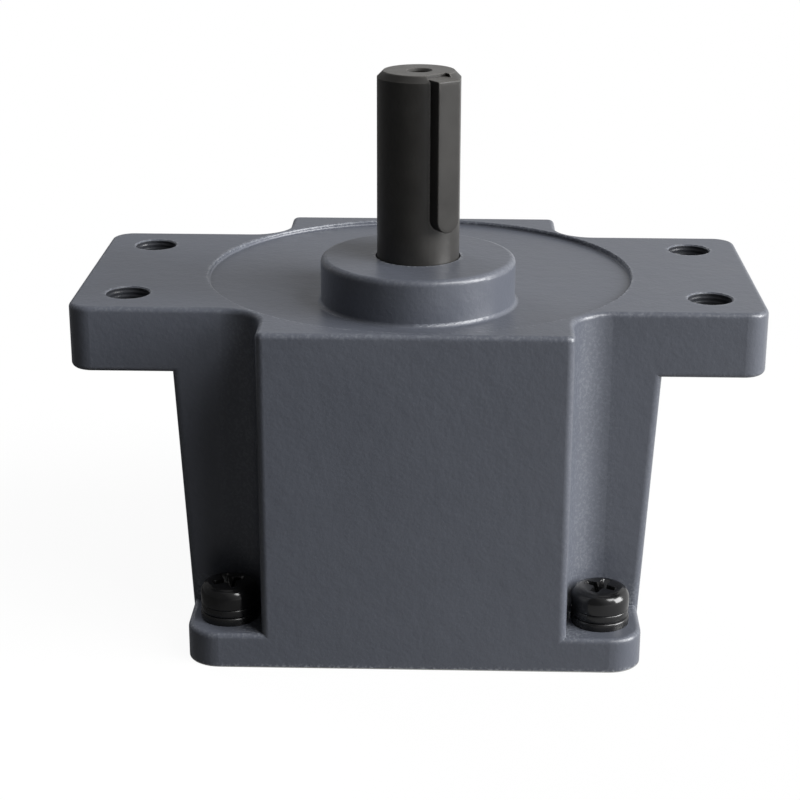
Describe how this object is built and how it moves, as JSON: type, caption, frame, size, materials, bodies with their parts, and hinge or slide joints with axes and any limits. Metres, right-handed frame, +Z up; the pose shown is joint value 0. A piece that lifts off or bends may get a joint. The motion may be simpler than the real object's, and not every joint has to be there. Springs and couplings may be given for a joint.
{
  "type": "gear reducer",
  "caption": "Parallel-shaft gear reducer in a cast case with bolt-down wings, a square base flange and a keyed output shaft offset on a round boss.",
  "frame": {"origin": "on the motor axis at the underside of the case", "axes": "+X along the wings, +Y away from the output shaft, +Z up along the output shaft"},
  "size_m": [0.135, 0.09, 0.112],
  "materials": {
    "painted_casting": "matte",
    "bare_casting": "satin",
    "black_steel": "satin",
    "black_screw_steel": "gloss",
    "gear_steel": "satin",
    "bearing_steel": "polished",
    "cage_brass": "satin",
    "seal_rubber": "matte"
  },
  "bodies": {
    "housing": {"gear_case": "painted_casting", "input_flange": "bare_casting", "flange_o_ring": "seal_rubber", "dowel_pins": "bearing_steel", "case_screws": "black_screw_steel", "spring_washers": "black_screw_steel", "flat_washers": "black_screw_steel", "seal_shell": "gear_steel", "seal_lip": "seal_rubber", "seal_spring": "bearing_steel", "output_upper_outer_ring": "bearing_steel", "output_lower_outer_ring": "bearing_steel", "second_upper_outer_ring": "bearing_steel", "second_lower_outer_ring": "bearing_steel", "first_upper_outer_ring": "bearing_steel", "first_lower_outer_ring": "bearing_steel"},
    "output": {"output_shaft": "black_steel", "shaft_key": "black_steel", "output_gear": "gear_steel", "output_gear_key": "gear_steel", "output_gear_circlip": "gear_steel", "output_upper_inner_ring": "bearing_steel", "output_lower_inner_ring": "bearing_steel"},
    "second": {"second_pinion_shaft": "gear_steel", "second_gear": "gear_steel", "second_gear_key": "gear_steel", "second_gear_circlip": "gear_steel", "second_upper_inner_ring": "bearing_steel", "second_lower_inner_ring": "bearing_steel"},
    "first": {"first_pinion_shaft": "gear_steel", "first_gear": "gear_steel", "first_gear_key": "gear_steel", "first_gear_circlip": "gear_steel", "first_upper_inner_ring": "bearing_steel", "first_lower_inner_ring": "bearing_steel"},
    "output_upper_ball_set": {"output_upper_balls": "bearing_steel", "output_upper_cage": "cage_brass"},
    "output_lower_ball_set": {"output_lower_balls": "bearing_steel", "output_lower_cage": "cage_brass"},
    "second_upper_ball_set": {"second_upper_balls": "bearing_steel", "second_upper_cage": "cage_brass"},
    "second_lower_ball_set": {"second_lower_balls": "bearing_steel", "second_lower_cage": "cage_brass"},
    "first_upper_ball_set": {"first_upper_balls": "bearing_steel", "first_upper_cage": "cage_brass"},
    "first_lower_ball_set": {"first_lower_balls": "bearing_steel", "first_lower_cage": "cage_brass"}
  },
  "joints": [
    {"name": "output_spin", "type": "hinge", "parent": "housing", "child": "output", "pos_m": [0, -0.018, 0], "axis": [0, 0, 1], "continuous": true},
    {"name": "second_spin", "type": "hinge", "parent": "housing", "child": "second", "pos_m": [0.01661, 0.00001, 0], "axis": [0, 0, 1], "continuous": true},
    {"name": "first_spin", "type": "hinge", "parent": "housing", "child": "first", "pos_m": [0.00464, 0.01894, 0], "axis": [0, 0, 1], "continuous": true},
    {"name": "output_upper_ball_set_spin", "type": "hinge", "parent": "housing", "child": "output_upper_ball_set", "pos_m": [0, -0.018, 0], "axis": [0, 0, 1], "continuous": true},
    {"name": "output_lower_ball_set_spin", "type": "hinge", "parent": "housing", "child": "output_lower_ball_set", "pos_m": [0, -0.018, 0], "axis": [0, 0, 1], "continuous": true},
    {"name": "second_upper_ball_set_spin", "type": "hinge", "parent": "housing", "child": "second_upper_ball_set", "pos_m": [0.01661, 0.00001, 0], "axis": [0, 0, 1], "continuous": true},
    {"name": "second_lower_ball_set_spin", "type": "hinge", "parent": "housing", "child": "second_lower_ball_set", "pos_m": [0.01661, 0.00001, 0], "axis": [0, 0, 1], "continuous": true},
    {"name": "first_upper_ball_set_spin", "type": "hinge", "parent": "housing", "child": "first_upper_ball_set", "pos_m": [0.00464, 0.01894, 0], "axis": [0, 0, 1], "continuous": true},
    {"name": "first_lower_ball_set_spin", "type": "hinge", "parent": "housing", "child": "first_lower_ball_set", "pos_m": [0.00464, 0.01894, 0], "axis": [0, 0, 1], "continuous": true}
  ],
  "couplings": [
    {"joint": "second_spin", "follows": "output_spin", "ratio": -2.5},
    {"joint": "first_spin", "follows": "output_spin", "ratio": 6.25},
    {"joint": "output_upper_ball_set_spin", "follows": "output_spin", "ratio": 0.41818},
    {"joint": "output_lower_ball_set_spin", "follows": "output_spin", "ratio": 0.4069},
    {"joint": "second_upper_ball_set_spin", "follows": "output_spin", "ratio": -1},
    {"joint": "second_lower_ball_set_spin", "follows": "output_spin", "ratio": -1},
    {"joint": "first_upper_ball_set_spin", "follows": "output_spin", "ratio": 2.3214},
    {"joint": "first_lower_ball_set_spin", "follows": "output_spin", "ratio": 2.3214}
  ]
}
